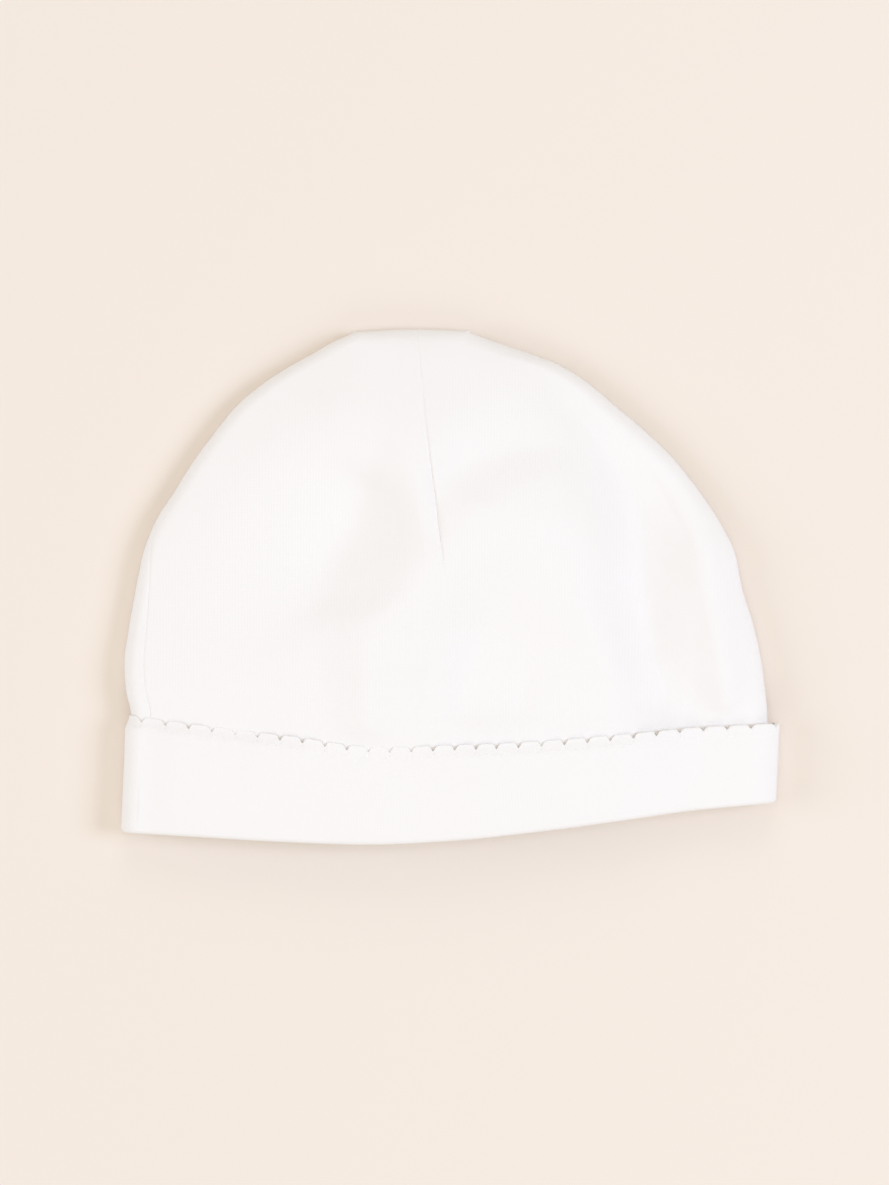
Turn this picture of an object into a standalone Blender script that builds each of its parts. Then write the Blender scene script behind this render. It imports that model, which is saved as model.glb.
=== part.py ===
"""A newborn's nightcap of white cotton jersey, laid flat on its back with its cuff turned up.

X runs across the cap, Y from its mouth up to its top, Z up from the surface that it lies on.
Two crown panels meet at the side seams and along the top. The cuff wraps their lower edge,
turns up outside them and ends in a shell-stitched edge. Everything is in metres.
"""
import math
from collections import namedtuple

import bmesh
import bpy
import numpy as np
from mathutils import Vector

# The whole cap, as it lies
CAP_WIDTH = 0.165
CAP_LENGTH = 0.130
PUFF = 0.011
PUFF_SPREAD = 1.1

# The cloth
WALL = 0.0011
CLEARANCE = 0.0003
EDGE_HOLLOW = 0.0022

# The cuff
CUFF_HEIGHT = 0.024
CUFF_LEAN = 0.001
LIP_DEPTH = 0.002
SHELLS = 58
SHELL_PHASE = 0.73
SHELL_DEPTH = 0.0012
SHELL_SWELL = 0.0004
SHELL_REACH = 0.0025
SHELL_POINT = 1.5

# How far the side seams have turned with the cap, and how far the crown takes to come down off the cuff
SEAM_TURN = 0.007
BACK_SLOPE = 0.014

# How finely the cloth is divided, how its columns and rows crowd together, and the shares over which
# a slope is taken
CROWN_COLUMNS = 34
CROWN_ROWS_BODY = 16
CROWN_ROWS_EDGE = 3
STEPS_PER_SHELL = 4
CUFF_FOLD_STEPS = 3
EDGE_CROWDING = 0.55
TOP_CROWDING = 1.25
SLOPE_STEP = 0.01
BASE_STEP = 0.0005

# Worked out from the sizes above
EDGE_RADIUS = EDGE_HOLLOW + WALL
CUFF_STAND = CLEARANCE + WALL
BODY_HALF = CAP_WIDTH / 2 - CUFF_STAND
FOLD_RADIUS = WALL + CLEARANCE / 2
LIP_TOP = FOLD_RADIUS + LIP_DEPTH
QUARTER_TURN = EDGE_RADIUS * math.pi / 2

# The crown's outline. height is a share of CAP_LENGTH, left and right are shares of BODY_HALF,
# turn is a share of SEAM_TURN and puff of PUFF.
CrownRow = namedtuple("CrownRow", "height left right turn puff")
CROWN_OUTLINE = (
    CrownRow(0.000, 1.000, 0.990, 1.00, 0.42),
    CrownRow(0.150, 0.990, 0.978, 1.00, 0.50),
    CrownRow(0.250, 0.986, 0.978, 1.00, 0.60),
    CrownRow(0.300, 1.006, 0.977, 1.00, 0.68),
    CrownRow(0.350, 1.013, 0.966, 1.00, 0.77),
    CrownRow(0.420, 0.996, 0.938, 0.95, 0.88),
    CrownRow(0.500, 0.972, 0.892, 0.80, 0.97),
    CrownRow(0.560, 0.946, 0.875, 0.62, 1.00),
    CrownRow(0.620, 0.909, 0.823, 0.32, 1.00),
    CrownRow(0.680, 0.850, 0.764, 0.05, 0.95),
    CrownRow(0.740, 0.786, 0.680, 0.00, 0.86),
    CrownRow(0.800, 0.716, 0.595, 0.00, 0.73),
    CrownRow(0.850, 0.655, 0.496, 0.00, 0.58),
    CrownRow(0.895, 0.562, 0.418, 0.00, 0.42),
    CrownRow(0.930, 0.487, 0.330, 0.00, 0.29),
    CrownRow(0.952, 0.421, 0.232, 0.00, 0.20),
    CrownRow(0.970, 0.366, 0.142, 0.00, 0.11),
    CrownRow(0.988, 0.280, 0.060, 0.00, 0.00),
)

# The mouth, from the left fold (across -1) to the right one (1). fold is how far the mouth's edge
# lies above its lowest point, and cuff is the band's height, both shares of CUFF_HEIGHT.
MouthRow = namedtuple("MouthRow", "across fold cuff")
MOUTH = (
    MouthRow(-1.00, 0.13, 1.23),
    MouthRow(-0.80, 0.09, 1.18),
    MouthRow(-0.50, 0.03, 1.09),
    MouthRow(-0.25, 0.00, 1.00),
    MouthRow(0.00, 0.04, 0.98),
    MouthRow(0.25, 0.13, 0.93),
    MouthRow(0.50, 0.24, 0.90),
    MouthRow(0.75, 0.36, 0.86),
    MouthRow(1.00, 0.43, 0.79),
)

# The top edge, between its two soft corners. height is a share of CAP_LENGTH.
TopRow = namedtuple("TopRow", "across height")
TOP_EDGE = (
    TopRow(-1.0, 0.990),
    TopRow(0.0, 1.000),
    TopRow(1.0, 0.992),
)

# Dents and ridges of the front. Places are shares of half the CAP_WIDTH and of CAP_LENGTH, reach is
# a share of CAP_WIDTH, and depth is a share of PUFF, below zero for a ridge.
Fold = namedtuple("Fold", "name from_across from_up to_across to_up reach depth")
FRONT_FOLDS = (
    Fold("dart, upper half", -0.105, 0.99, -0.056, 0.70, 0.025, 0.08),
    Fold("dart, lower half", -0.056, 0.70, -0.017, 0.49, 0.028, 0.12),
    Fold("dent beside the dart", -0.178, 0.70, -0.190, 0.49, 0.045, 0.11),
    Fold("dent towards the left", -0.230, 0.47, -0.400, 0.32, 0.060, 0.12),
    Fold("ridge over that dent", -0.260, 0.38, -0.017, 0.54, 0.035, -0.07),
    Fold("dent right of the dart", 0.029, 0.65, 0.303, 0.72, 0.050, 0.10),
    Fold("ridge under that dent", 0.105, 0.60, 0.334, 0.69, 0.035, -0.06),
    Fold("right valley, upper half", 0.456, 0.80, 0.639, 0.62, 0.040, 0.12),
    Fold("right valley, lower half", 0.639, 0.62, 0.785, 0.32, 0.040, 0.12),
    Fold("soft fold above the cuff", 0.334, 0.48, 0.440, 0.32, 0.035, 0.06),
)


def curve(rows, key, value):
    """A smooth curve through one column of a table, read at any place along another column."""
    places = np.array([getattr(row, key) for row in rows])
    values = np.array([getattr(row, value) for row in rows])
    steps = np.diff(places)
    slopes = np.diff(values) / steps
    products = slopes[1:] * slopes[:-1]
    sums = np.where(products > 0, slopes[1:] + slopes[:-1], 1.0)
    inner = np.where(products > 0, 2 * products / sums, 0.0)
    tangents = np.concatenate(([slopes[0]], inner, [slopes[-1]]))

    def read(at):
        at = min(max(at, places[0]), places[-1])
        i = min(int(np.searchsorted(places, at, side="right")) - 1, len(steps) - 1)
        t = (at - places[i]) / steps[i]
        start = (1 + 2 * t) * (1 - t) ** 2 * values[i] + t * (1 - t) ** 2 * steps[i] * tangents[i]
        end = t * t * (3 - 2 * t) * values[i + 1] + t * t * (t - 1) * steps[i] * tangents[i + 1]
        return float(start + end)

    return read


left_share = curve(CROWN_OUTLINE, "height", "left")
right_share = curve(CROWN_OUTLINE, "height", "right")
turn_share = curve(CROWN_OUTLINE, "height", "turn")
puff_share = curve(CROWN_OUTLINE, "height", "puff")
fold_share = curve(MOUTH, "across", "fold")
cuff_share = curve(MOUTH, "across", "cuff")
top_share = curve(TOP_EDGE, "across", "height")


def ease(t):
    """Rises smoothly from 0 to 1."""
    t = min(max(t, 0.0), 1.0)
    return t * t * (3 - 2 * t)


def mouth_y(across):
    """The cuff's lower fold."""
    return CUFF_HEIGHT * fold_share(across) - CAP_LENGTH / 2


def cuff_height(across):
    return CUFF_HEIGHT * cuff_share(across)


def top_y(across):
    return CAP_LENGTH * (top_share(across) - 0.5)


def height_share(y):
    return y / CAP_LENGTH + 0.5


def folds_depth(x, y):
    """How far the front's dents and ridges take the cloth down at this place."""
    depth = 0.0
    place = np.array([x, y])
    for fold in FRONT_FOLDS:
        start = np.array([fold.from_across * CAP_WIDTH / 2, (fold.from_up - 0.5) * CAP_LENGTH])
        end = np.array([fold.to_across * CAP_WIDTH / 2, (fold.to_up - 0.5) * CAP_LENGTH])
        run = end - start
        along = min(max(float((place - start) @ run / (run @ run)), 0.0), 1.0)
        away = np.linalg.norm(place - start - along * run) / (fold.reach * CAP_WIDTH)
        depth += fold.depth * PUFF * math.exp(-away * away)
    return depth


def off_cuff(y, across):
    """0 inside the cuff and just past its edge, and 1 where the crown has come down to the surface."""
    past_edge = y - mouth_y(across) - cuff_height(across) - SHELL_REACH
    return ease(past_edge / BACK_SLOPE)


def outline_z(y, across):
    """How high the crown's outline runs, halfway between its front and its back."""
    return EDGE_RADIUS + CUFF_STAND * (1 - off_cuff(y, across))


def cloth_point(x, y, across, rise, side):
    """A point of the crown's outer face. rise is 0 on the outline and 1 past the turned edge."""
    z = outline_z(y, across) + side * EDGE_RADIUS * rise
    if side > 0:
        bulge = max(1 - across * across, 0.0) ** PUFF_SPREAD
        z += PUFF * puff_share(height_share(y)) * bulge
        z -= folds_depth(x, y) * bulge * off_cuff(y, across) * rise
    return Vector((x, y, z))


def ring_place(left, right, left_reach, right_reach, share):
    """A place on the loop round the cap: 0 to 1 over the front from the left, 1 to 2 under the back.

    The reaches are how wide the turned edges are in plan. It gives x, the place across the loop
    from -1 to 1, the rise and the side, 1 for the front and -1 for the back.
    """
    share = share % 2
    side = 1 if share <= 1 else -1
    length = right - left - left_reach - right_reach + 2 * QUARTER_TURN
    along = length * (share if side > 0 else 2 - share)
    from_left = along <= length / 2
    if not from_left:
        along = length - along
    angle = min(along / EDGE_RADIUS, math.pi / 2)
    reach = left_reach if from_left else right_reach
    inset = reach * (1 - math.cos(angle)) + max(along - QUARTER_TURN, 0.0)
    x = left + inset if from_left else right - inset
    across = (2 * x - left - right) / (right - left)
    return x, across, math.sin(angle), side


def outline(share_at, y):
    """How far out the crown's outline lies at this height, and how wide its turned edge is in plan."""
    height = height_share(y)
    widening = share_at(height + SLOPE_STEP) - share_at(height - SLOPE_STEP)
    slope = widening * BODY_HALF / (2 * SLOPE_STEP * CAP_LENGTH)
    return share_at(height) * BODY_HALF, EDGE_RADIUS * math.hypot(1, slope)


def cuff_edges(up):
    """The two sides of the face that the cuff lies on, at a height above the mouth's edge."""
    leaf = min(up / CUFF_HEIGHT, 1.0)
    return BODY_HALF - CUFF_LEAN * leaf, BODY_HALF - CUFF_LEAN * (1 - leaf)


def crown_point(row, column):
    """A point of the crown's outer face, and the outline's height and the side that it belongs to.

    row runs from 0 at the lip to 1 at the top, and column from 0 to 2 round the cap.
    """
    lip_left = mouth_y(-1) + LIP_TOP + CLEARANCE
    lip_right = mouth_y(1) + LIP_TOP + CLEARANCE
    left_y = lip_left + (top_y(-1) - lip_left) * row
    right_y = lip_right + (top_y(1) - lip_right) * row
    left, left_reach = outline(left_share, left_y)
    right, right_reach = outline(right_share, right_y)
    if left_y - mouth_y(-1) < cuff_height(-1):
        left = min(left, cuff_edges(left_y - mouth_y(-1))[0])
    if right_y - mouth_y(1) < cuff_height(1):
        right = min(right, cuff_edges(right_y - mouth_y(1))[1])
    length = left + right - left_reach - right_reach + 2 * QUARTER_TURN
    turn = SEAM_TURN * turn_share(height_share((left_y + right_y) / 2)) / length
    x, across, rise, side = ring_place(-left, right, left_reach, right_reach, column + turn)
    lip = mouth_y(across) + LIP_TOP + CLEARANCE
    y = lip + (top_y(across) - lip) * row
    inset = (1 - row) * CAP_LENGTH / EDGE_RADIUS
    if inset < 1:
        rise = min(rise, math.sqrt(max(1 - (1 - inset) ** 2, 0.0)))
    return cloth_point(x, y, across, rise, side), outline_z(y, across), side


def crown_rows():
    """The rows' places, closer together towards the top, and round its turned edge."""
    edge = EDGE_RADIUS / CAP_LENGTH
    body = [(1 - edge) * (1 - (1 - i / CROWN_ROWS_BODY) ** TOP_CROWDING) for i in range(CROWN_ROWS_BODY)]
    angles = [math.pi / 2 * i / CROWN_ROWS_EDGE for i in range(CROWN_ROWS_EDGE, -1, -1)]
    return body + [1 - edge * (1 - math.cos(angle)) for angle in angles]


def crown_columns():
    """The columns' places over one face, closer together at its two edges."""
    steps = [i / CROWN_COLUMNS for i in range(CROWN_COLUMNS + 1)]
    return [t - EDGE_CROWDING * math.sin(2 * math.pi * t) / (2 * math.pi) for t in steps]


def crown_loop():
    """The columns' places round the whole cap, over the front and back under it."""
    columns = crown_columns()[:-1]
    return columns + [1 + t for t in columns]


def crown_skin():
    """The outer face of the whole crown, as rows of vertices that its two faces share at the top."""
    loop = crown_loop()
    skin = bmesh.new()
    grid = []
    for row in crown_rows()[:-1]:
        grid.append([skin.verts.new(crown_point(row, share)[0]) for share in loop])
    top = [skin.verts.new(crown_point(1.0, share)[0]) for share in crown_columns()]
    grid.append(top + top[-2:0:-1])
    for lower, upper in zip(grid[:-1], grid[1:]):
        for i in range(len(loop)):
            j = (i + 1) % len(loop)
            skin.faces.new(list(dict.fromkeys((lower[i], lower[j], upper[j], upper[i]))))
    skin.normal_update()
    return skin, grid


def seam_steps(grid):
    """For each vertex on the seams, the direction along the cloth from the back panel to the front one.

    The seam's path goes up the left side, along the top and down the right side.
    """
    left = [row[0] for row in grid]
    right = [row[CROWN_COLUMNS] for row in grid]
    path = left + grid[-1][1:CROWN_COLUMNS] + right[::-1]
    steps = {}
    for i, vert in enumerate(path):
        before = path[max(i - 1, 0)].co
        after = path[min(i + 1, len(path) - 1)].co
        steps[vert] = (after - before).cross(vert.normal).normalized()
    return steps


def panel_grids(first, toward):
    """One panel's outer face and lining, as grids. toward is 1 for the front panel and -1 for the back.

    Both panels take their wall's direction from the whole crown, so their cut edges lie side by
    side. Each sewn edge is set back by half the clearance.
    """
    skin, grid = crown_skin()
    steps = seam_steps(grid)
    loop = crown_loop()
    outer, inner = [], []
    for row, verts in zip(crown_rows(), grid):
        outer_row, inner_row = [], []
        for i in range(first, first + CROWN_COLUMNS + 1):
            vert = verts[i % len(loop)]
            _, middle, side = crown_point(row, loop[i % len(loop)])
            lining = vert.co - WALL * vert.normal
            back_off = Vector()
            if vert in steps:
                back_off = steps[vert] * toward * CLEARANCE / 2
            elif side * (lining.z - middle) < CLEARANCE:
                lining.z = middle + side * CLEARANCE
            outer_row.append(vert.co + back_off)
            inner_row.append(lining + back_off)
        outer.append(outer_row)
        inner.append(inner_row)
    skin.free()
    return outer, inner


def sheet_solid(name, outer, inner, material):
    """A closed solid from a sheet's outer grid and its lining grid."""
    body = bmesh.new()
    skin = [[body.verts.new(place) for place in row] for row in outer]
    lining = [[body.verts.new(place) for place in row] for row in inner]
    last_row = len(skin) - 1
    for r in range(last_row):
        for c in range(len(skin[0]) - 1):
            body.faces.new((skin[r][c], skin[r][c + 1], skin[r + 1][c + 1], skin[r + 1][c]))
            body.faces.new((lining[r][c], lining[r + 1][c], lining[r + 1][c + 1], lining[r][c + 1]))
    for c in range(len(skin[0]) - 1):
        body.faces.new((skin[0][c + 1], skin[0][c], lining[0][c], lining[0][c + 1]))
        body.faces.new((skin[-1][c], skin[-1][c + 1], lining[-1][c + 1], lining[-1][c]))
    for r in range(last_row):
        body.faces.new((skin[r][0], skin[r + 1][0], lining[r + 1][0], lining[r][0]))
        body.faces.new((skin[r + 1][-1], skin[r][-1], lining[r][-1], lining[r + 1][-1]))
    return finish(name, body, material)


def cuff_base(share, up):
    """The face that the cuff lies on, at a height above the mouth's edge."""
    left, right = cuff_edges(up)
    x, across, rise, side = ring_place(-left, right, EDGE_RADIUS, EDGE_RADIUS, share)
    y = mouth_y(across) + up
    return cloth_point(x, y, across, rise, side), across


def cuff_point(share, up, stand):
    """A point that stands off that face by this much."""
    place, _ = cuff_base(share, up)
    along = cuff_base(share + BASE_STEP, up)[0] - cuff_base(share - BASE_STEP, up)[0]
    upward = cuff_base(share, up + BASE_STEP)[0] - cuff_base(share, max(up - BASE_STEP, 0.0))[0]
    return place + along.cross(upward).normalized() * stand


def cuff_profile(share, cycle):
    """The band's cut section at one place round the cap. cycle runs from 0 to 1 over each shell."""
    _, across = cuff_base(share, 0.0)
    height = cuff_height(across)
    arch = abs(math.sin(math.pi * cycle))
    pulled = SHELL_DEPTH * (1 - arch) ** SHELL_POINT
    swell = SHELL_SWELL * arch if share % 2 < 1 else 0.0
    middle = (height + FOLD_RADIUS) / 2
    places = [
        (height - pulled, CUFF_STAND + swell / 2),
        (height - SHELL_REACH, CUFF_STAND + swell),
        (middle, CUFF_STAND),
    ]
    for step in range(CUFF_FOLD_STEPS + 1):
        angle = math.pi * step / CUFF_FOLD_STEPS
        away = CLEARANCE / 2 + FOLD_RADIUS * math.cos(angle)
        places.append((FOLD_RADIUS * (1 - math.sin(angle)), away))
    places += [
        (LIP_TOP, -WALL),
        (LIP_TOP, 0.0),
        (FOLD_RADIUS, 0.0),
        (FOLD_RADIUS, CLEARANCE),
        (middle, CLEARANCE),
        (height - pulled, CLEARANCE),
    ]
    return [cuff_point(share, up, stand) for up, stand in places]


def make_cuff(material):
    body = bmesh.new()
    count = SHELLS * STEPS_PER_SHELL
    sections = []
    for i in range(count):
        cycle = i / STEPS_PER_SHELL % 1
        share = (2 * (i + SHELL_PHASE * STEPS_PER_SHELL) / count) % 2
        sections.append([body.verts.new(place) for place in cuff_profile(share, cycle)])
    for here, beside in zip(sections, sections[1:] + sections[:1]):
        for k in range(len(here)):
            n = (k + 1) % len(here)
            body.faces.new((here[k], here[n], beside[n], beside[k]))
    return finish("cuff", body, material)


def finish(name, body, material):
    """Turns the built shape into an object, smooth but for its cut edges."""
    mesh = bpy.data.meshes.new(name)
    body.to_mesh(mesh)
    body.free()
    mesh.shade_smooth()
    mesh.set_sharp_from_angle(angle=math.radians(50))
    mesh.materials.append(material)
    obj = bpy.data.objects.new(name, mesh)
    bpy.context.scene.collection.objects.link(obj)
    return obj


def jersey(name, red, green, blue):
    """White cotton jersey: matt, with no metal in it."""
    material = bpy.data.materials.new(name)
    material.use_nodes = True
    shader = material.node_tree.nodes["Principled BSDF"]
    shader.inputs["Base Color"].default_value = (red, green, blue, 1.0)
    shader.inputs["Roughness"].default_value = 0.9
    shader.inputs["Metallic"].default_value = 0.0
    return material


def main():
    for obj in list(bpy.data.objects):
        bpy.data.objects.remove(obj, do_unlink=True)
    front_cloth = jersey("front_jersey", 0.93, 0.91, 0.90)
    back_cloth = jersey("back_jersey", 0.92, 0.90, 0.89)
    cuff_cloth = jersey("cuff_jersey", 0.94, 0.92, 0.91)
    sheet_solid("crown_front", *panel_grids(0, 1), front_cloth)
    sheet_solid("crown_back", *panel_grids(CROWN_COLUMNS, -1), back_cloth)
    make_cuff(cuff_cloth)


main()
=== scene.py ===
import math
from collections import namedtuple

import bpy
import numpy as np
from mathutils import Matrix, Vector


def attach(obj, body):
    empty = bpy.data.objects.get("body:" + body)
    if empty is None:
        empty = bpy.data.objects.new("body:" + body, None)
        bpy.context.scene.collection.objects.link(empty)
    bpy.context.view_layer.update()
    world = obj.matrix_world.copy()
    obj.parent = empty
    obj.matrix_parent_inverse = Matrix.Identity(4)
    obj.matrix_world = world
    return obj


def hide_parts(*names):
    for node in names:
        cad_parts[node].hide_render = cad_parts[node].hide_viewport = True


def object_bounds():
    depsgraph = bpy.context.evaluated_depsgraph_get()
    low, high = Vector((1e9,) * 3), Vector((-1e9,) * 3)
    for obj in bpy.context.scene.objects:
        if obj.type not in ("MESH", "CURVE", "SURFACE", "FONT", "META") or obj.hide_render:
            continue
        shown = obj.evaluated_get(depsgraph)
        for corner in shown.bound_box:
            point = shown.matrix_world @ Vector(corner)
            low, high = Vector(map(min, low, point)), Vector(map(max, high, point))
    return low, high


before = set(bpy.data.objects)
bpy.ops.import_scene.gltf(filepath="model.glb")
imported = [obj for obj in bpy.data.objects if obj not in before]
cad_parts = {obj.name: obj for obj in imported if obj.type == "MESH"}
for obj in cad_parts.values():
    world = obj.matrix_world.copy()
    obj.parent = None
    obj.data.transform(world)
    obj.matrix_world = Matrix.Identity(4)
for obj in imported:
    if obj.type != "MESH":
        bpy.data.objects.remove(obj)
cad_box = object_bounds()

MM = 0.001

# The cap's sizes, from the solids that it is dressed over
BOX_LOW, BOX_HIGH = (np.array(corner) for corner in cad_box)
CAP_WIDTH = float(BOX_HIGH[0] - BOX_LOW[0])
CAP_LENGTH = float(BOX_HIGH[1] - BOX_LOW[1])
CENTRE = np.array([(BOX_LOW[0] + BOX_HIGH[0]) / 2, (BOX_LOW[1] + BOX_HIGH[1]) / 2, BOX_LOW[2]])
PUFF = 11 * MM
PUFF_SPREAD = 1.35

# The cloth
WALL = 1.1 * MM
CLEARANCE = 0.3 * MM
EDGE_RADIUS = 3.3 * MM
QUARTER_TURN = EDGE_RADIUS * math.pi / 2

# The cuff
CUFF_HEIGHT = 24 * MM
CUFF_LEAN = 1.0 * MM
CUFF_STAND = CLEARANCE + WALL
FOLD_RADIUS = WALL + CLEARANCE / 2
LIP_TOP = FOLD_RADIUS + 2 * MM
LIP_GAP = 0.1 * MM
BODY_HALF = CAP_WIDTH / 2 - CUFF_STAND
SHELL_REACH = 2.5 * MM
FRONT_BLEND = 0.06

# The crown comes down over these lengths past the cuff's edge, and its folds and its finer
# unevenness set in. The front begins to come down a little under the cuff.
BACK_SLOPE = 14 * MM
FRONT_SLOPE = 34 * MM
UNDER_CUFF = 4 * MM
FOLD_FADE = 13 * MM
DETAIL_FADE = 6 * MM

# The front rounds off downwards within this width of its sides
SIDE_ROLL = 0.3 * MM
SIDE_ROLL_WIDTH = 9 * MM

# The shell-stitched edge of the cuff
SHELLS = 58
SHELL_PHASE = 0.73
SHELL_PITCH = 2 * (2 * BODY_HALF - CUFF_LEAN - 2 * EDGE_RADIUS + 2 * QUARTER_TURN) / SHELLS
NOTCH_DEPTH = 1.25 * MM
NOTCH_HALF_WIDTH = 0.58 * MM
NOTCH_SPREAD = 2.0 * MM
SHELL_ARCH = 0.06 * MM
SHELL_SWELL = 0.03 * MM
SWELL_REACH = 0.45
PINCH_DEPTH = 0.05 * MM
PINCH_WIDTH = 0.8 * MM
PINCH_END = 1.8 * MM
PINCH_FADE = 1.4 * MM
STITCH_LINE = 2.7 * MM
STITCH_DIP = 0.02 * MM
STITCH_DIP_WIDTH = 0.55 * MM
HEM_DEPTH = 8.5 * MM
HEM_STEP = 0.05 * MM
HEM_STEP_WIDTH = 1.2 * MM
EDGE_PRESS = 0.25 * MM
EDGE_PRESS_WIDTH = 4 * MM
EDGE_THINNING = 0.9 * MM
EDGE_TAPER = 3.6 * MM
EDGE_ROUND = 0.2 * MM
THICKER_NOTCH = 0.45

# The edge lies close to the crown but for the front's right end, where it gapes and the notches are
# shallower. The start and the width are places across, and the notches' depth is a share.
GAPE_START = 0.5
GAPE_WIDTH = 0.25
LOOSE_NOTCH = 0.75

# Seams
SEAM_TURN = 7 * MM
SEAM_ROUND = 0.10 * MM
SEAM_ROUND_WIDTH = 0.8 * MM
SEAM_GAP = 0.02 * MM
DART_GROOVE = 0.4 * MM
DART_HALF_WIDTH = 0.3 * MM
DART_DIMPLE = 0.12 * MM
DART_DIMPLE_WIDTH = 1.4 * MM
DART_ALLOWANCE = 5.5 * MM
ALLOWANCE_STEP = 0.08 * MM
ALLOWANCE_STEP_WIDTH = 1.2 * MM
ALLOWANCE_START_WIDTH = 0.8 * MM
PUCKER_HEIGHT = 0.03 * MM
PUCKER_PITCH = 4.1 * MM
PUCKER_AWAY = 1.6 * MM
PUCKER_WIDTH = 1.8 * MM

# The dart's strength rises upwards from its tip, and past its deepest part it falls by DART_LOSS.
# The heights are shares of CAP_LENGTH, and the foot is its place across at the mouth.
DART_TIP = 0.475
DART_RISE = 0.12
DART_DEEPEST = 0.68
DART_FADE = 0.25
DART_LOSS = 0.55
DART_FOOT = -0.04

# Sewing thread. It lies pressed into the cloth by shares of its radius, and its ends dive under it.
# At each notch it climbs, and from CLIMB_OVER on it turns over the edge.
THREAD_RADIUS = 0.10 * MM
CLIMB_PRESS = 0.5
CLIMB_TOP = 0.6
CLIMB_DIVE = 0.3 * MM
CLIMB_DIVE_REACH = 0.12
CLIMB_OVER = 0.8
STITCHES_PER_SHELL = 3
STITCH_START = 0.12
STITCH_LENGTH = 0.76
STITCH_PRESS = 0.2
STITCH_DIVE = 1.8

# The soft unevenness of the cloth: the seed of its waves, their lengths and their height
Waves = namedtuple("Waves", "seed shortest longest height")
CROWN_WAVES = Waves(5, 14 * MM, 34 * MM, 0.22 * MM)
CUFF_WAVES = Waves(9, 9 * MM, 26 * MM, 0.22 * MM)
WAVE_COUNT = 14
WAVE_STRETCH = 2

# How finely the cloth is divided. Its lines lie closer together round each centre of crowding, and
# the cuff's rows under its edge are in millimetres.
CROWN_COLUMNS = 250
CROWN_ROWS = 170
BACK_COLUMNS = 130
BACK_ROWS = 110
COLUMNS_PER_SHELL = 20
NOTCH_CROWDING = 0.6
ROWS_UNDER_EDGE = (
    0.8, 1.05, 1.35, 1.7, 2.0, 2.3, 2.55, 2.8, 3.1,
    3.5, 4.1, 5, 6, 7, 8, 8.7, 9.4, 10.2,
)
NORMAL_STEP = 0.05 * MM
Crowding = namedtuple("Crowding", "centre width amount")

# The crown's outline. height is a share of CAP_LENGTH, left and right are shares of BODY_HALF,
# turn is a share of SEAM_TURN and puff of PUFF.
CrownRow = namedtuple("CrownRow", "height left right turn puff")
CROWN_OUTLINE = (
    CrownRow(0.000, 1.000, 0.990, 1.00, 0.22),
    CrownRow(0.150, 0.990, 0.978, 1.00, 0.38),
    CrownRow(0.250, 0.986, 0.978, 1.00, 0.52),
    CrownRow(0.300, 1.002, 0.971, 1.00, 0.62),
    CrownRow(0.350, 1.008, 0.962, 1.00, 0.77),
    CrownRow(0.420, 0.994, 0.938, 0.95, 0.88),
    CrownRow(0.500, 0.971, 0.900, 0.80, 0.97),
    CrownRow(0.560, 0.951, 0.881, 0.62, 1.00),
    CrownRow(0.620, 0.915, 0.835, 0.32, 1.00),
    CrownRow(0.680, 0.855, 0.771, 0.05, 0.95),
    CrownRow(0.740, 0.794, 0.696, 0.00, 0.86),
    CrownRow(0.800, 0.723, 0.598, 0.00, 0.73),
    CrownRow(0.850, 0.656, 0.503, 0.00, 0.58),
    CrownRow(0.895, 0.568, 0.416, 0.00, 0.42),
    CrownRow(0.930, 0.478, 0.322, 0.00, 0.29),
    CrownRow(0.952, 0.414, 0.226, 0.00, 0.20),
    CrownRow(0.970, 0.364, 0.142, 0.00, 0.11),
    CrownRow(0.988, 0.300, 0.060, 0.00, 0.00),
)

# The mouth, from the left fold (across -1) to the right one (1), as shares of CUFF_HEIGHT.
MouthRow = namedtuple("MouthRow", "across fold cuff")
MOUTH = (
    MouthRow(-1.00, 0.135, 1.225),
    MouthRow(-0.80, 0.10, 1.17),
    MouthRow(-0.50, 0.045, 1.105),
    MouthRow(-0.25, 0.02, 1.02),
    MouthRow(0.00, 0.058, 1.002),
    MouthRow(0.25, 0.143, 0.952),
    MouthRow(0.50, 0.25, 0.91),
    MouthRow(0.75, 0.365, 0.872),
    MouthRow(1.00, 0.445, 0.835),
)

# How far the shells lie from even places round the cap, in shells. around is 0 to 1 over the front.
DriftRow = namedtuple("DriftRow", "around shift")
SHELL_DRIFT = (
    DriftRow(0.00, 0.10),
    DriftRow(0.10, 0.22),
    DriftRow(0.20, 0.24),
    DriftRow(0.31, 0.18),
    DriftRow(0.42, 0.00),
    DriftRow(0.53, -0.17),
    DriftRow(0.60, -0.34),
    DriftRow(0.81, -0.30),
    DriftRow(0.93, -0.17),
    DriftRow(1.00, -0.10),
    DriftRow(1.25, 0.00),
    DriftRow(1.75, 0.00),
    DriftRow(2.00, 0.10),
)

TopRow = namedtuple("TopRow", "across height")
TOP_EDGE = (
    TopRow(-1.0, 0.990),
    TopRow(0.0, 0.995),
    TopRow(1.0, 0.992),
)

# The dart's line down the front. across is a share of half the CAP_WIDTH, height of CAP_LENGTH.
DartRow = namedtuple("DartRow", "height across")
DART = (
    DartRow(0.470, -0.011),
    DartRow(0.541, -0.022),
    DartRow(0.639, -0.040),
    DartRow(0.727, -0.059),
    DartRow(0.825, -0.078),
    DartRow(0.910, -0.091),
    DartRow(0.995, -0.104),
)

# The section of a fold, as shares of its reach: its round bottom, its even slope and its soft crest
FOLD_BOTTOM = 0.22
FOLD_SLOPE = 0.85
FOLD_CREST = 0.14

# Folds fade out towards the sides, from where the crown's bulge is this share of its height
FOLD_END = 1 / 6

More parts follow.
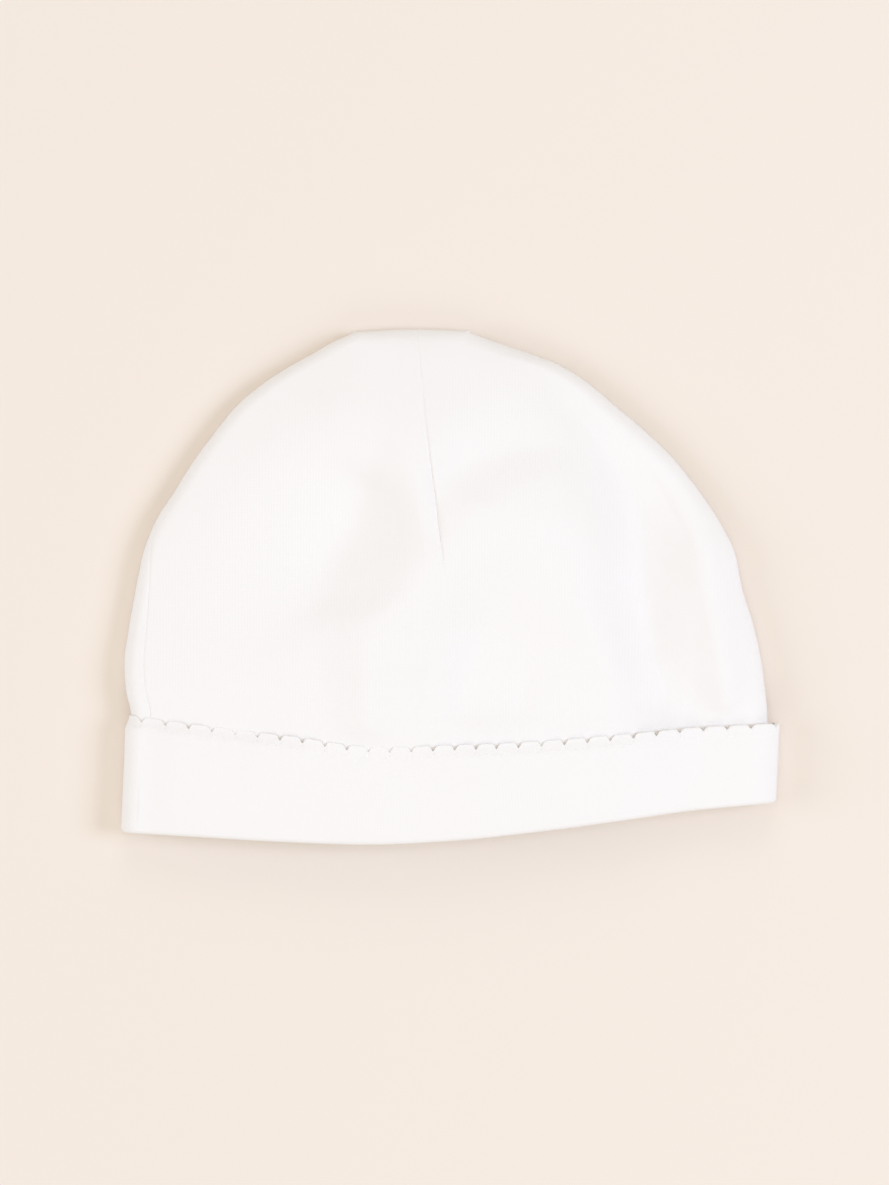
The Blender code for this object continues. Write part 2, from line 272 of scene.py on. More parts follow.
# How a fold's line is followed, and how softly it blends where it bends and from side to side
STEPS_PER_POINT = 8
FELT_REACHES = 2.4
BEND_BLUR = 1.2 * MM
BEND_SPREAD = 0.16
SIDE_BLEND = 1.5 * MM

# Dents and ridges of the front, each followed from its lower end to its upper one. Places are in
# millimetres from the cap's middle. left and right are how far the cloth slopes down on each side of
# the line, and depth is how deep it lies, below zero for a ridge, all in millimetres too.
FoldPoint = namedtuple("FoldPoint", "x y left right depth")
FRONT_FOLDS = {
    "valley left of the dart": (
        FoldPoint(-31.0, -36.0, 26.0, 11.0, 0.4),
        FoldPoint(-32.8, -24.1, 27.0, 11.5, 0.7),
        FoldPoint(-34.8, -14.0, 28.0, 13.0, 1.5),
        FoldPoint(-35.6, -6.4, 28.0, 17.5, 3.6),
        FoldPoint(-33.4, 1.1, 28.0, 20.0, 5.6),
        FoldPoint(-29.6, 8.7, 28.0, 20.0, 6.8),
        FoldPoint(-24.8, 16.3, 26.0, 20.0, 7.0),
        FoldPoint(-22.8, 23.8, 22.0, 19.0, 5.6),
        FoldPoint(-19.8, 31.4, 16.0, 12.0, 1.7),
        FoldPoint(-16.0, 40.0, 12.0, 8.0, 0.3),
        FoldPoint(-14.0, 50.0, 10.0, 7.0, 0.0),
    ),
    "ridge beside that valley": (
        FoldPoint(-20.4, -40.0, 11.0, 6.5, -1.7),
        FoldPoint(-21.2, -23.0, 11.0, 6.5, -1.6),
        FoldPoint(-20.4, -12.0, 8.0, 6.5, -0.6),
        FoldPoint(-14.0, -4.5, 4.0, 6.0, -0.3),
        FoldPoint(-6.0, 2.0, 4.0, 6.0, 0.0),
    ),
    "valley right of the dart": (
        FoldPoint(-2.6, 8.0, 4.0, 4.0, 0.0),
        FoldPoint(-2.6, 16.3, 4.5, 7.0, 0.9),
        FoldPoint(-1.4, 24.5, 5.5, 10.0, 2.0),
        FoldPoint(5.6, 30.4, 11.0, 11.5, 2.7),
        FoldPoint(14.8, 33.4, 14.0, 9.5, 2.2),
        FoldPoint(23.5, 34.4, 12.0, 7.0, 1.0),
        FoldPoint(30.0, 36.0, 8.0, 5.0, 0.0),
    ),
    "valley along the right side": (
        FoldPoint(55.0, -40.0, 10.0, 15.0, 2.6),
        FoldPoint(53.0, -24.1, 11.0, 17.0, 4.6),
        FoldPoint(50.6, -14.0, 11.0, 18.5, 6.2),
        FoldPoint(49.2, -6.4, 11.0, 19.0, 6.8),
        FoldPoint(48.0, 1.1, 11.0, 18.5, 6.8),
        FoldPoint(47.8, 8.7, 11.0, 17.0, 6.6),
        FoldPoint(46.6, 16.3, 12.0, 15.0, 5.8),
        FoldPoint(43.6, 24.0, 13.0, 11.0, 4.2),
        FoldPoint(39.0, 31.5, 13.0, 8.0, 2.8),
        FoldPoint(33.5, 39.0, 12.0, 7.0, 1.4),
        FoldPoint(27.0, 46.0, 9.0, 6.0, 0.5),
        FoldPoint(19.0, 52.0, 8.0, 6.0, 0.0),
    ),
    "ridge at the right side": (
        FoldPoint(69.5, -34.0, 16.0, 6.0, -1.6),
        FoldPoint(69.8, -20.0, 17.0, 6.0, -3.6),
        FoldPoint(69.8, -8.0, 17.0, 6.0, -4.2),
        FoldPoint(68.6, 1.0, 15.0, 6.0, -4.2),
        FoldPoint(66.0, 9.5, 12.0, 6.0, -3.4),
        FoldPoint(62.0, 18.0, 10.0, 6.0, -1.6),
        FoldPoint(57.0, 27.0, 9.0, 6.0, 0.0),
    ),
    "soft hollow low on the right": (
        FoldPoint(10.0, -38.0, 16.0, 34.0, 0.6),
        FoldPoint(9.0, -24.0, 20.0, 35.0, 3.4),
        FoldPoint(9.0, -14.0, 20.0, 35.0, 4.4),
        FoldPoint(12.0, -5.0, 18.0, 30.0, 3.2),
        FoldPoint(19.0, 5.0, 13.0, 19.0, 1.4),
        FoldPoint(27.0, 14.0, 10.0, 11.0, 0.0),
    ),
    "first wrinkle over the cuff": (
        FoldPoint(-5.8, -40.0, 2.0, 3.0, 0.5),
        FoldPoint(-6.6, -27.0, 2.0, 3.0, 0.4),
        FoldPoint(-4.2, -11.0, 2.0, 3.0, 0.0),
    ),
    "second wrinkle over the cuff": (
        FoldPoint(1.8, -40.0, 4.0, 6.0, 0.6),
        FoldPoint(3.0, -27.0, 4.0, 6.0, 0.8),
        FoldPoint(5.6, -8.0, 4.0, 5.0, 0.0),
    ),
    "third wrinkle over the cuff": (
        FoldPoint(16.8, -40.0, 3.0, 3.6, 0.3),
        FoldPoint(18.0, -27.0, 3.0, 3.6, 0.45),
        FoldPoint(20.7, -7.5, 3.0, 3.0, 0.0),
    ),
    "soft hollow round the dart": (
        FoldPoint(-3.4, 8.0, 5.0, 3.0, 0.0),
        FoldPoint(-3.6, 18.0, 5.0, 2.0, 0.6),
        FoldPoint(-5.6, 28.0, 5.0, 2.0, 0.5),
        FoldPoint(-8.6, 46.0, 5.0, 3.0, 0.1),
    ),
}

# Hollows of the cuff, in the same way.
CUFF_FOLDS = {
    "hollow under the edge": (
        FoldPoint(-38.0, -42.0, 4.0, 7.0, 0.0),
        FoldPoint(-30.0, -42.6, 4.0, 7.0, 0.7),
        FoldPoint(-14.0, -43.6, 4.0, 7.0, 0.9),
        FoldPoint(-5.0, -44.0, 4.0, 7.0, 0.5),
        FoldPoint(2.0, -44.0, 4.0, 7.0, 0.0),
    ),
    "hollow before the right end": (
        FoldPoint(58.0, -62.0, 18.0, 15.0, 0.9),
        FoldPoint(59.5, -36.0, 14.0, 15.0, 2.4),
    ),
    "hollow before the left end": (
        FoldPoint(-74.5, -66.0, 6.0, 6.0, 0.5),
        FoldPoint(-74.5, -32.0, 6.0, 6.0, 0.5),
    ),
}


def column_of(rows, name):
    return np.array([getattr(row, name) for row in rows])


def curve_through(places, values):
    """A smooth curve through these values, which doesn't overshoot them."""
    steps = np.diff(places)
    slopes = np.diff(values) / steps
    products = slopes[1:] * slopes[:-1]
    sums = np.where(products > 0, slopes[1:] + slopes[:-1], 1.0)
    inner = np.where(products > 0, 2 * products / sums, 0.0)
    tangents = np.concatenate(([slopes[0]], inner, [slopes[-1]]))

    def read(at):
        at = np.clip(at, places[0], places[-1])
        i = np.clip(np.searchsorted(places, at, side="right") - 1, 0, len(steps) - 1)
        t = (at - places[i]) / steps[i]
        start = (1 + 2 * t) * (1 - t) ** 2 * values[i] + t * (1 - t) ** 2 * steps[i] * tangents[i]
        end = t * t * (3 - 2 * t) * values[i + 1] + t * t * (t - 1) * steps[i] * tangents[i + 1]
        return start + end

    return read


def curve(rows, key, value):
    """A smooth curve through one column of a table, read at any places along another column."""
    return curve_through(column_of(rows, key), column_of(rows, value))


left_share = curve(CROWN_OUTLINE, "height", "left")
right_share = curve(CROWN_OUTLINE, "height", "right")
turn_share = curve(CROWN_OUTLINE, "height", "turn")
puff_share = curve(CROWN_OUTLINE, "height", "puff")
fold_share = curve(MOUTH, "across", "fold")
cuff_share = curve(MOUTH, "across", "cuff")
top_share = curve(TOP_EDGE, "across", "height")
dart_share = curve(DART, "height", "across")
shell_shift = curve(SHELL_DRIFT, "around", "shift")


def ease(t):
    """Rises smoothly from 0 to 1."""
    t = np.clip(t, 0.0, 1.0)
    return t * t * (3 - 2 * t)


def bump(distance, reach):
    """1 at no distance, fading out over the reach."""
    return np.exp(-(distance / reach) ** 2)


def mouth_y(across):
    return CUFF_HEIGHT * fold_share(across) - CAP_LENGTH / 2


def cuff_height(across):
    return CUFF_HEIGHT * cuff_share(across)


def top_y(across):
    return CAP_LENGTH * (top_share(across) - 0.5)


def height_share(y):
    return y / CAP_LENGTH + 0.5


def off_cuff(y, across):
    """0 inside the cuff and just past its edge, and 1 where the crown has come down to the surface."""
    past_edge = y - mouth_y(across) - cuff_height(across) - SHELL_REACH
    return ease(past_edge / BACK_SLOPE)


def outline_z(y, across):
    return EDGE_RADIUS + CUFF_STAND * (1 - off_cuff(y, across))


def slope_down(distance, reach):
    """1 in the bottom of a fold, falling evenly to 0 at its reach, where a soft crest begins."""
    bottom = FOLD_BOTTOM * reach
    away = np.sqrt(distance ** 2 + bottom ** 2) - bottom
    crest = FOLD_CREST * reach
    return crest * np.log1p(np.exp((FOLD_SLOPE * reach - away) / crest)) / (FOLD_SLOPE * reach)


def followed(points, t):
    """The columns of a fold's points, each followed smoothly along the fold, in metres."""
    numbers = np.arange(len(points))
    return [curve_through(numbers, column_of(points, name))(t) * MM for name in FoldPoint._fields]


def folds_depth(x, y, folds):
    """How deep the folds lie at these places, each with its own slope on its left and on its right."""
    depth = np.zeros_like(x)
    for points in folds.values():
        t = np.linspace(0, len(points) - 1, STEPS_PER_POINT * len(points))
        line_x, line_y, left, right, deep = followed(points, t)
        room = FELT_REACHES * max(left.max(), right.max())
        near = (x > line_x.min() - room) & (x < line_x.max() + room)
        near &= (y > line_y.min() - room) & (y < line_y.max() + room)
        run_x, run_y = np.gradient(line_x), np.gradient(line_y)
        away_x = x[near][:, None] - line_x
        away_y = y[near][:, None] - line_y
        square = away_x ** 2 + away_y ** 2
        nearest = square.min(axis=-1, keepdims=True)
        weight = np.exp(-(square - nearest) / (BEND_BLUR ** 2 + BEND_SPREAD * nearest))
        weight = weight / weight.sum(axis=-1, keepdims=True)
        side = (run_x * away_y - run_y * away_x) / np.hypot(run_x, run_y)
        side = (side * weight).sum(axis=-1)
        distance = np.sqrt((square * weight).sum(axis=-1))
        part = ease((side / SIDE_BLEND + 1) / 2)
        reach = (weight @ left) * part + (weight @ right) * (1 - part)
        depth[near] += (weight @ deep) * slope_down(distance, reach)
    return depth


def ripples(x, y, waves):
    """A soft unevenness of the cloth: a few long waves that cross each other at random."""
    rng = np.random.default_rng(waves.seed)
    total = np.zeros_like(x)
    for _ in range(WAVE_COUNT):
        length = rng.uniform(waves.shortest, waves.longest)
        angle = rng.uniform(0, math.pi)
        phase = rng.uniform(0, 2 * math.pi)
        along = x * math.cos(angle) + y * math.sin(angle)
        total += np.sin(2 * math.pi * along / length + phase) * length / waves.longest
    return total * waves.height / math.sqrt(WAVE_COUNT)


def dart_depth(x, y):
    """The dart's sewn line, its allowance that lies to the left under the cloth, and small puckers."""
    height = height_share(y)
    away = x - dart_share(height) * CAP_WIDTH / 2
    rise = ease((height - DART_TIP) / DART_RISE)
    strength = rise * (1 - DART_LOSS * ease((height - DART_DEEPEST) / DART_FADE))
    groove = DART_GROOVE * bump(away, DART_HALF_WIDTH) + DART_DIMPLE * bump(away, DART_DIMPLE_WIDTH)
    allowance = ALLOWANCE_STEP * ease((away + DART_ALLOWANCE) / ALLOWANCE_STEP_WIDTH)
    allowance = allowance * ease(-away / ALLOWANCE_START_WIDTH)
    beside = bump(np.abs(away) - PUCKER_AWAY, PUCKER_WIDTH)
    pucker = PUCKER_HEIGHT * beside * np.sin(y * 2 * math.pi / PUCKER_PITCH)
    return strength * (groove - allowance + pucker)


def cloth_z(x, y, across, rise, side, folded=True):
    """The height of the crown's outer face. rise is 0 on the outline and 1 past the turned edge.

    The cuff lies on the same face without its folds.
    """
    above_cuff = y - mouth_y(across) - cuff_height(across)
    front_lift = CUFF_STAND * (1 - ease((above_cuff + UNDER_CUFF) / FRONT_SLOPE))
    back_lift = outline_z(y, across) - EDGE_RADIUS
    bulge = np.maximum(1 - across * across, 0.0) ** PUFF_SPREAD
    from_side = (1 - np.abs(across)) * CAP_WIDTH / 2
    front = PUFF * puff_share(height_share(y)) * bulge
    front = front + (front_lift - back_lift) * rise
    front = front - SIDE_ROLL * np.clip(1 - from_side / SIDE_ROLL_WIDTH, 0, 1) ** 1.5 * rise
    if folded:
        depth = folds_depth(x, y, FRONT_FOLDS)
        visible = ease((above_cuff + UNDER_CUFF) / FOLD_FADE)
        free = ease(above_cuff / DETAIL_FADE)
        seen = np.where(depth > 0, depth * visible, depth * free)
        front = front - (seen * np.minimum(bulge / FOLD_END, 1) + dart_depth(x, y) * free) * rise
        front = front - folds_depth(x, y, CUFF_FOLDS) * rise
        front = front + ripples(x, y, CROWN_WAVES) * bulge * free * rise
    return EDGE_RADIUS + back_lift + side * EDGE_RADIUS * rise + np.where(side > 0, front, 0.0)


def ring_place(left, right, left_reach, right_reach, around):
    """A place on the loop round the cap: 0 to 1 over the front from the left, 1 to 2 under the back.

    It gives x, the place across from -1 to 1, the rise, the side and x as if the cloth lay flat.
    """
    around = around % 2
    side = np.where(around <= 1, 1.0, -1.0)
    length = right - left - left_reach - right_reach + 2 * QUARTER_TURN
    along = length * np.where(side > 0, around, 2 - around)
    from_left = along <= length / 2
    along = np.where(from_left, along, length - along)
    angle = np.minimum(along / EDGE_RADIUS, math.pi / 2)
    reach = np.where(from_left, left_reach, right_reach)
    inset = reach * (1 - np.cos(angle)) + np.maximum(along - QUARTER_TURN, 0.0)
    flat = reach - QUARTER_TURN + along
    x = np.where(from_left, left + inset, right - inset)
    flat_x = np.where(from_left, left + flat, right - flat)
    across = (2 * x - left - right) / (right - left)
    return x, across, np.sin(angle), side, flat_x


def outline(share_at, y):
    """How far out the crown's outline lies, and how wide its turned edge is in plan."""
    step = 0.01
    height = height_share(y)
    widening = share_at(height + step) - share_at(height - step)
    slope = widening * BODY_HALF / (2 * step * CAP_LENGTH)
    return share_at(height) * BODY_HALF, EDGE_RADIUS * np.hypot(1, slope)


def cuff_edges(up):
    leaf = np.minimum(up / CUFF_HEIGHT, 1.0)
    return BODY_HALF - CUFF_LEAN * leaf, BODY_HALF - CUFF_LEAN * (1 - leaf)


def plan_of(down):
    """How far below the top's outline a place lies in plan, from how far down the cloth it is."""
    turned = np.minimum(down / EDGE_RADIUS, math.pi / 2)
    return EDGE_RADIUS * (1 - np.cos(turned)) + np.maximum(down - QUARTER_TURN, 0.0), np.sin(turned)


def crown_sides(row):
    """For rows from the lip (0) to the top (1): the two ends, their turned edges and the length."""
    lip_left = mouth_y(-1) + LIP_TOP + LIP_GAP
    lip_right = mouth_y(1) + LIP_TOP + LIP_GAP
    left_y = lip_left + (top_y(-1) - lip_left) * row
    right_y = lip_right + (top_y(1) - lip_right) * row
    left, left_reach = outline(left_share, left_y)
    right, right_reach = outline(right_share, right_y)
    up_left = left_y - mouth_y(-1)
    up_right = right_y - mouth_y(1)
    left = np.where(up_left < cuff_height(-1), np.minimum(left, cuff_edges(up_left)[0]), left)
    right = np.where(up_right < cuff_height(1), np.minimum(right, cuff_edges(up_right)[1]), right)
    length = left + right - left_reach - right_reach + 2 * QUARTER_TURN
    turn = SEAM_TURN * turn_share(height_share((left_y + right_y) / 2)) / length
    return left, right, left_reach, right_reach, length, turn


def crown_places(down, around):
    """Places on the crown's outer face, and their places on the flat cloth.

    down is the distance along the cloth from the top's outline. Below zero it is on the other face.
    """
    around = np.where(down < 0, 2 - around, around)
    plan, top_rise = plan_of(np.abs(down))
    row = 1 - plan / CAP_LENGTH
    left, right, left_reach, right_reach, _, _ = crown_sides(row)
    x, across, rise, side, flat_x = ring_place(-left, right, left_reach, right_reach, around)
    lip = mouth_y(across) + LIP_TOP + LIP_GAP
    y = lip + (top_y(across) - lip) * row
    z = cloth_z(x, y, across, np.minimum(rise, top_rise), side)
    flat_y = top_y(across) - (EDGE_RADIUS + np.abs(down) - QUARTER_TURN)
    return np.stack([x, y, z], axis=-1), np.stack([flat_x, flat_y], axis=-1)


def unit(vectors):
    return vectors / np.maximum(np.linalg.norm(vectors, axis=-1, keepdims=True), 1e-12)


def crowded(count, centres):
    """count + 1 places from 0 to 1, closer together round each centre."""
    fine = np.linspace(0, 1, 4001)
    density = np.ones_like(fine)
    for crowding in centres:
        density += crowding.amount * bump(fine - crowding.centre, crowding.width)
    total = np.concatenate(([0], np.cumsum((density[1:] + density[:-1]) / 2)))
    return np.interp(np.linspace(0, 1, count + 1), total / total[-1], fine)


def dart_column(down):
    """Where the dart crosses each row, as a share of the front panel."""
    plan, _ = plan_of(down)
    row = 1 - plan / CAP_LENGTH
    left, _, left_reach, _, length, turn = crown_sides(row)
    lip = mouth_y(DART_FOOT) + LIP_TOP + LIP_GAP
    y = lip + (top_y(0.0) - lip) * row
    x = dart_share(height_share(y)) * CAP_WIDTH / 2
    return (x + left - left_reach + QUARTER_TURN) / length - turn


def front_columns(down):
    """The front's columns, closer together at its seams and along the dart."""
    crossing = dart_column(down)
    middle = float(crossing.mean())
    seams = [Crowding(0.0, 0.010, 3.0), Crowding(1.0, 0.010, 3.0)]
    even = crowded(CROWN_COLUMNS, seams + [Crowding(middle, 0.006, 7.0)])
    lower = even / middle * crossing
    upper = 1 - (1 - even) / (1 - middle) * (1 - crossing)
    return np.where(even <= middle, lower, upper)


def back_columns(down):
    even = crowded(BACK_COLUMNS, [Crowding(0.0, 0.012, 4.0), Crowding(1.0, 0.012, 4.0)])
    return 1 + even[None, :] + 0 * down


def make_panel(name, rows, columns_at, start, material):
    """One panel of the crown, as a closed wall of cloth whose sewn edges roll in to the seam.

    start is where it begins round the cap: 0 for the front and 1 for the back.
    """
    deepest = CAP_LENGTH - EDGE_RADIUS + QUARTER_TURN
    heights = crowded(rows, [Crowding(1.0, 0.012, 4.0), Crowding(0.8, 0.25, 0.8)])
    down = deepest * (1 - heights)[:, None]
    plan, _ = plan_of(down)
    _, _, _, _, length, turn = crown_sides(1 - plan / CAP_LENGTH)
    columns = columns_at(down)
    around = columns + turn
    places, flat = crown_places(down, around)
    step = NORMAL_STEP / length
    before, _ = crown_places(down, around[:, :1] - step)
    after, _ = crown_places(down, around[:, -1:] + step)
    wide = np.concatenate([before, places, after], axis=1)
    along = unit(wide[:, 2:] - wide[:, :-2])
    last = around[-1:]
    tall = np.concatenate([places[:1], places, crown_places(down[-1:] - NORMAL_STEP, last)[0]])
    upward = unit(tall[2:] - tall[:-2])
    out = unit(np.cross(along, upward))
    share = columns - start
    edge_distances = (
        (share * length, along),
        ((1 - share) * length, -along),
        (down + 0 * share, -upward),
    )
    nearest = np.full(places.shape[:2], 1.0)
    for distance, away in edge_distances:
        near = np.clip(1 - distance / SEAM_ROUND_WIDTH, 0, 1)
        places = places + away * (SEAM_GAP / 2 * near)[..., None]
        nearest = np.minimum(nearest, 1 - near)
    rolled = SEAM_ROUND * (1 - np.sqrt(1 - (1 - nearest) ** 2))
    outer = places - out * rolled[..., None]
    lining = outer - out * WALL
    middle = outline_z(places[..., 1], 0.0)
    from_fold = np.abs(around - np.round(around)) * length
    room = CLEARANCE * np.minimum(from_fold / QUARTER_TURN, 1)
    over = np.where(around % 2 < 1, 1.0, -1.0)
    lining[..., 2] = middle + over * np.maximum(over * (lining[..., 2] - middle), room)
    return make_wall(name, outer, lining, flat, material)


def quads(numbers):
    """The faces of a grid of vertex numbers."""
    corners = (numbers[:-1, :-1], numbers[:-1, 1:], numbers[1:, 1:], numbers[1:, :-1])
    return np.stack(corners, axis=-1).reshape(-1, 4)


def make_wall(name, outer, lining, flat, material):
    rows, columns = outer.shape[:2]
    skin = np.arange(rows * columns).reshape(rows, columns)
    under = skin + rows * columns
    faces = np.concatenate([
        quads(skin),
        quads(under[:, ::-1]),
        quads(np.stack([under[0], skin[0]])),
        quads(np.stack([skin[-1], under[-1]])),
        quads(np.stack([skin[:, 0], under[:, 0]])),
        quads(np.stack([under[:, -1], skin[:, -1]])),
    ])
    places = np.concatenate([outer.reshape(-1, 3), lining.reshape(-1, 3)])
    flat = np.concatenate([flat.reshape(-1, 2)] * 2)
    return make_piece(name, places, faces, flat[faces.ravel()], material)


def make_piece(name, places, faces, flat, material):
    """An object at the origin, with the places on the flat cloth in the map named cut."""
    mesh = bpy.data.meshes.new(name)
    mesh.from_pydata((places + CENTRE).tolist(), [], faces.tolist())
    layer = mesh.uv_layers.new(name="cut")
    layer.data.foreach_set("uv", flat.astype(np.float32).ravel())
    mesh.shade_smooth()
    mesh.set_sharp_from_angle(angle=math.radians(60))
    mesh.materials.append(material)
    obj = bpy.data.objects.new(name, mesh)
    bpy.context.scene.collection.objects.link(obj)
    return obj


def cuff_base(around, up, hollowed=False):
    """The face that the cuff lies on, at a height above the mouth's edge."""
    left, right = cuff_edges(up)
    x, across, rise, side, _ = ring_place(-left, right, EDGE_RADIUS, EDGE_RADIUS, around)
    y = mouth_y(across) + up
    z = cloth_z(x, y, across, rise, side, folded=False)
    if hollowed:
        z = z - np.where(side > 0, folds_depth(x, y, CUFF_FOLDS) * rise, 0.0)
    return np.stack([x, y, z], axis=-1), across, side


def cuff_place(around, up, stand):
    """A place that stands off that face by this much."""
    step = NORMAL_STEP / CAP_WIDTH
    place, _, _ = cuff_base(around, up, hollowed=True)
    along = cuff_base(around + step, up)[0] - cuff_base(around - step, up)[0]
    upward = cuff_base(around, up + NORMAL_STEP)[0] - cuff_base(around, np.maximum(up - NORMAL_STEP, 0))[0]
    return place + unit(np.cross(along, upward)) * stand[..., None]


def shell_shape(cycle, below_edge, front, held):
    """How far the stitches pull the edge down, and how far the cloth swells out or is pinched in.

    cycle runs from 0 to 1 over each shell, and front is 1 on the front and 0 where the cuff lies on
    the surface, which leaves it no room to swell. held is 1 where the edge lies close to the crown.
    """
    from_notch = (0.5 - np.abs(cycle % 1 - 0.5)) * SHELL_PITCH
    arch = np.sin(math.pi * cycle)
    pulled = NOTCH_DEPTH * bump(from_notch, NOTCH_HALF_WIDTH) * (LOOSE_NOTCH + (1 - LOOSE_NOTCH) * held)
    pulled = pulled + SHELL_ARCH * (1 - arch)
    pulled = pulled * bump(below_edge, NOTCH_SPREAD)
    lobe = SHELL_SWELL * arch * bump(below_edge - STITCH_LINE / 2, STITCH_LINE * SWELL_REACH)
    pinch = PINCH_DEPTH * bump(from_notch, PINCH_WIDTH) * ease((PINCH_END - below_edge) / PINCH_FADE)
    line = STITCH_DIP * bump(below_edge - STITCH_LINE, STITCH_DIP_WIDTH)
    hem = HEM_STEP * (1 - ease((below_edge - HEM_DEPTH) / HEM_STEP_WIDTH))
    press = EDGE_PRESS * (1 - ease(below_edge / EDGE_PRESS_WIDTH)) * held
    return pulled, front * (lobe + hem) - press - pinch - line


def edge_stand(cycle, below_edge, held):
    """How far the outer face stands off the crown: the cloth is pressed thin between the notches."""
    from_notch = (0.5 - np.abs(cycle % 1 - 0.5)) * SHELL_PITCH
    thinning = EDGE_THINNING * held * (1 - THICKER_NOTCH * bump(from_notch, PINCH_WIDTH))
    return CUFF_STAND - thinning * (1 - ease((below_edge - EDGE_ROUND) / EDGE_TAPER))


def held_close(across, side):
    """1 where the cuff's edge lies close to the crown, 0 at the front's right end, where it gapes."""
    return 1 - ease((across - GAPE_START) / GAPE_WIDTH) * (side > 0)


def shell_around(position):
    """Where a place lies round the cap, from its position counted in shells: the sewing is uneven."""
    around = 2 * (position + SHELL_PHASE) / SHELLS
    return around + 2 * shell_shift(around % 2) / SHELLS


def on_front(across, side):
    """1 on the front and 0 on the back, with a soft change at the folds."""
    return ease((side * (1 - np.abs(across)) / FRONT_BLEND + 1) / 2)


def cuff_wave(around, up):
    """The cuff's unevenness, whose waves are longer up the cuff than round the cap."""
    return ripples(around * CAP_WIDTH, up / WAVE_STRETCH, CUFF_WAVES)


def cuff_columns():
    steps = np.arange(COLUMNS_PER_SHELL) / COLUMNS_PER_SHELL
    cycle = steps - NOTCH_CROWDING * np.sin(2 * math.pi * steps) / (2 * math.pi)
    shell = np.arange(SHELLS)[:, None]
    around = shell_around(shell + cycle[None, :])
    return around.ravel(), np.tile(cycle, SHELLS)


def make_cuff(material):
    """The turned-up band, as a closed section carried round the cap."""
    around, cycle = cuff_columns()
    _, across, side = cuff_base(around, 0 * around)
    front = on_front(across, side)
    held = held_close(across, side)
    edge_wall = edge_stand(cycle, EDGE_ROUND, held) - CLEARANCE
    height = cuff_height(across)
    sections = []

    def add_row(below_edge, up, stand, follows):
        pulled, swell = shell_shape(cycle, below_edge, front, held)
        wave = cuff_wave(around, up) * front * ease(up / DETAIL_FADE)
        sections.append((up - pulled * follows, stand + (swell + wave) * follows))

    near_edge = np.array(ROWS_UNDER_EDGE)
    for angle in np.linspace(math.pi, 0, 7):
        below_edge = EDGE_ROUND * (1 - math.sin(angle)) + 0 * around
        stand = CLEARANCE + edge_wall * (1 + np.cos(angle)) / 2
        add_row(below_edge, height - below_edge, stand, 1)
    for below in near_edge * MM:
        add_row(below + 0 * around, height - below, edge_stand(cycle, below, held), 1)
    for t in np.linspace(0, 1, 9)[1:]:
        up = (height - near_edge[-1] * MM) * (1 - t) + FOLD_RADIUS * t
        add_row(height - up, up, CUFF_STAND + 0 * around, 1)
    for angle in np.linspace(0, math.pi, 11)[1:]:
        up = FOLD_RADIUS * (1 - math.sin(angle)) + 0 * around
        add_row(height - up, up, CLEARANCE / 2 + FOLD_RADIUS * math.cos(angle) + 0 * around, 0)
    for up, stand in ((LIP_TOP, -WALL), (LIP_TOP, 0.0), (FOLD_RADIUS, 0.0), (FOLD_RADIUS, CLEARANCE)):
        add_row(height - up, up + 0 * around, stand + 0 * around, 0)
    for t in np.linspace(0, 1, 14)[1:]:
        up = FOLD_RADIUS * (1 - t) + (height - EDGE_ROUND) * t
        add_row(height - up, up, CLEARANCE + 0 * around, t)

    ups = np.array([up for up, _ in sections[:-1]])
    stands = np.array([stand for _, stand in sections[:-1]])
    places = cuff_place(np.broadcast_to(around, ups.shape), ups, stands)
    rows, columns = ups.shape
    numbers = np.arange(rows * columns).reshape(rows, columns)
    closed = np.pad(numbers, ((0, 1), (0, 1)), mode="wrap")[::-1]
    faces = quads(closed)
    steps = np.linalg.norm(np.diff(places, axis=0), axis=-1).mean(axis=1)
    flat_y = -np.concatenate(([0], np.cumsum(steps), [steps.sum() + 0.5 * MM]))
    flat_x = np.append(around, around[0] + 2) * CAP_WIDTH
    grid = np.stack(np.meshgrid(flat_x, flat_y), axis=-1)[::-1]
    corner = np.arange(grid.shape[0] * grid.shape[1]).reshape(grid.shape[:2])
    flat = grid.reshape(-1, 2)[quads(corner).ravel()]
    return make_piece("cuff_cloth", places.reshape(-1, 3), faces, flat, material)


def add(tree, kind, settings=None, inputs=None):
    """Adds a node with its settings, and links or sets its inputs."""
    node = tree.nodes.new(kind)
    for name, value in (settings or {}).items():
        setattr(node, name, value)
    for name, value in (inputs or {}).items():
        if isinstance(value, bpy.types.NodeSocket):
            tree.links.new(value, node.inputs[name])
        else:
            node.inputs[name].default_value = value
    return node


def linear(code):
    """A material's colour from its sRGB hex value."""
    channels = [int(code[i:i + 2], 16) / 255 for i in (0, 2, 4)]
    return tuple(c / 12.92 if c <= 0.04045 else ((c + 0.055) / 1.055) ** 2.4 for c in channels) + (1.0,)


def new_material(name):
    material = bpy.data.materials.new(name)
    material.use_nodes = True
    material.node_tree.nodes.clear()
    return material, material.node_tree


